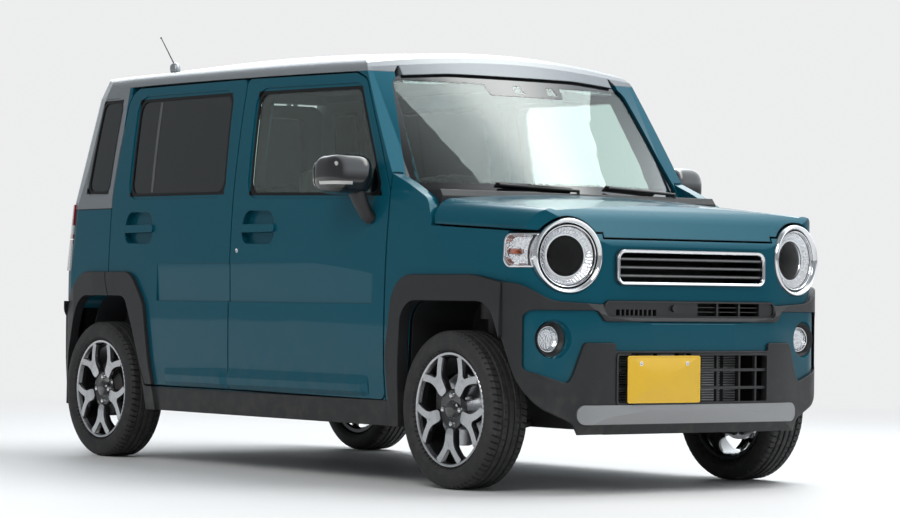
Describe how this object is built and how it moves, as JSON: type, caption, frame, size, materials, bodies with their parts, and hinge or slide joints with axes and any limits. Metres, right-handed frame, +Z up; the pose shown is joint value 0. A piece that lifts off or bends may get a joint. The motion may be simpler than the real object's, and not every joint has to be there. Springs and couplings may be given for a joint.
{
  "type": "kei car",
  "caption": "Small tall five-door kei car with two-tone paint, round headlamps, dark flares, opening doors, hood and tailgate, steered front wheels.",
  "frame": {"origin": "on the ground under the middle of the car's length and width", "axes": "+X points forward along the car, +Y to its left, +Z up"},
  "size_m": [3.395, 1.783, 1.7628],
  "materials": {
    "teal_paint": "metallic gloss",
    "grey_paint": "metallic gloss",
    "dark_plastic": "grained",
    "black_gloss": "gloss",
    "clear_glass": "clear",
    "privacy_glass": "dark",
    "tyre": "matte",
    "alloy": "machined",
    "brake_steel": "turned",
    "cast_metal": "cast",
    "red_lens": "clear lens",
    "chrome": "polished",
    "satin_silver": "satin",
    "underbody": "satin",
    "exhaust_steel": "dull",
    "black_trim": "grained",
    "seat_fabric": "woven"
  },
  "bodies": {
    "body": {"side_frames": "grey_paint", "roof": "grey_paint", "floor": "underbody", "bulkhead": "underbody", "cowl": "dark_plastic", "windshield": "clear_glass", "quarter_glasses": "privacy_glass", "fenders": "teal_paint", "front_fascia": "teal_paint", "front_bumper": "dark_plastic", "grille": "black_gloss", "skid_bar": "satin_silver", "front_lamps": "chrome", "body_cladding": "dark_plastic", "tail_lamps": "red_lens", "rear_bumper": "dark_plastic", "inner_fenders": "dark_plastic", "dashboard": "black_trim", "steering_wheel": "black_trim", "front_seats": "seat_fabric", "rear_seat": "seat_fabric", "engine": "cast_metal", "radiator": "cast_metal", "subframe": "cast_metal", "rear_axle": "cast_metal", "exhaust": "exhaust_steel", "wipers": "black_trim", "antenna": "black_trim"},
    "hood": {"hood": "teal_paint"},
    "tailgate": {"tailgate": "teal_paint", "tailgate_glass": "privacy_glass", "rear_wiper": "black_trim"},
    "door_front_right": {"door_front_right": "teal_paint", "glass_front_right": "clear_glass", "mirror_right": "black_gloss"},
    "door_rear_right": {"door_rear_right": "teal_paint", "glass_rear_right": "privacy_glass", "door_flare_right": "dark_plastic"},
    "knuckle_right": {"knuckle_right": "cast_metal"},
    "wheel_front_right": {"tyre_front_right": "tyre", "rim_front_right": "alloy", "disc_right": "brake_steel"},
    "wheel_rear_right": {"tyre_rear_right": "tyre", "rim_rear_right": "alloy", "drum_right": "cast_metal"},
    "door_front_left": {"door_front_left": "teal_paint", "glass_front_left": "clear_glass", "mirror_left": "black_gloss"},
    "door_rear_left": {"door_rear_left": "teal_paint", "glass_rear_left": "privacy_glass", "door_flare_left": "dark_plastic"},
    "knuckle_left": {"knuckle_left": "cast_metal"},
    "wheel_front_left": {"tyre_front_left": "tyre", "rim_front_left": "alloy", "disc_left": "brake_steel"},
    "wheel_rear_left": {"tyre_rear_left": "tyre", "rim_rear_left": "alloy", "drum_left": "cast_metal"}
  },
  "joints": [
    {"name": "steer_right", "type": "hinge", "parent": "body", "child": "knuckle_right", "pos_m": [1.192, -0.62, 0.186], "axis": [0, 0.1511, 0.9885], "range_deg": [-32, 32]},
    {"name": "steer_left", "type": "hinge", "parent": "body", "child": "knuckle_left", "pos_m": [1.192, 0.62, 0.186], "axis": [0, -0.1511, 0.9885], "range_deg": [-32, 32]},
    {"name": "wheel_front_right_spin", "type": "hinge", "parent": "knuckle_right", "child": "wheel_front_right", "pos_m": [1.192, -0.648, 0.28], "axis": [0, 1, 0], "continuous": true},
    {"name": "wheel_rear_right_spin", "type": "hinge", "parent": "body", "child": "wheel_rear_right", "pos_m": [-1.268, -0.648, 0.28], "axis": [0, 1, 0], "continuous": true},
    {"name": "door_front_right_hinge", "type": "hinge", "parent": "body", "child": "door_front_right", "pos_m": [0.752, -0.706, 0.54], "axis": [0, 0, 1], "range_deg": [0, 68]},
    {"name": "door_rear_right_hinge", "type": "hinge", "parent": "body", "child": "door_rear_right", "pos_m": [-0.3015, -0.709, 0.54], "axis": [0, 0, 1], "range_deg": [0, 72]},
    {"name": "wheel_front_left_spin", "type": "hinge", "parent": "knuckle_left", "child": "wheel_front_left", "pos_m": [1.192, 0.648, 0.28], "axis": [0, 1, 0], "continuous": true},
    {"name": "wheel_rear_left_spin", "type": "hinge", "parent": "body", "child": "wheel_rear_left", "pos_m": [-1.268, 0.648, 0.28], "axis": [0, 1, 0], "continuous": true},
    {"name": "door_front_left_hinge", "type": "hinge", "parent": "body", "child": "door_front_left", "pos_m": [0.752, 0.706, 0.54], "axis": [0, 0, -1], "range_deg": [0, 68]},
    {"name": "door_rear_left_hinge", "type": "hinge", "parent": "body", "child": "door_rear_left", "pos_m": [-0.3015, 0.709, 0.54], "axis": [0, 0, -1], "range_deg": [0, 72]},
    {"name": "hood_hinge", "type": "hinge", "parent": "body", "child": "hood", "pos_m": [1.071, 0, 1.039], "axis": [0, -1, 0], "range_deg": [0, 50]},
    {"name": "tailgate_hinge", "type": "hinge", "parent": "body", "child": "tailgate", "pos_m": [-1.537, 0, 1.53], "axis": [0, 1, 0], "range_deg": [0, 80]}
  ],
  "couplings": [
    {"joint": "steer_left", "follows": "steer_right", "ratio": 1}
  ]
}
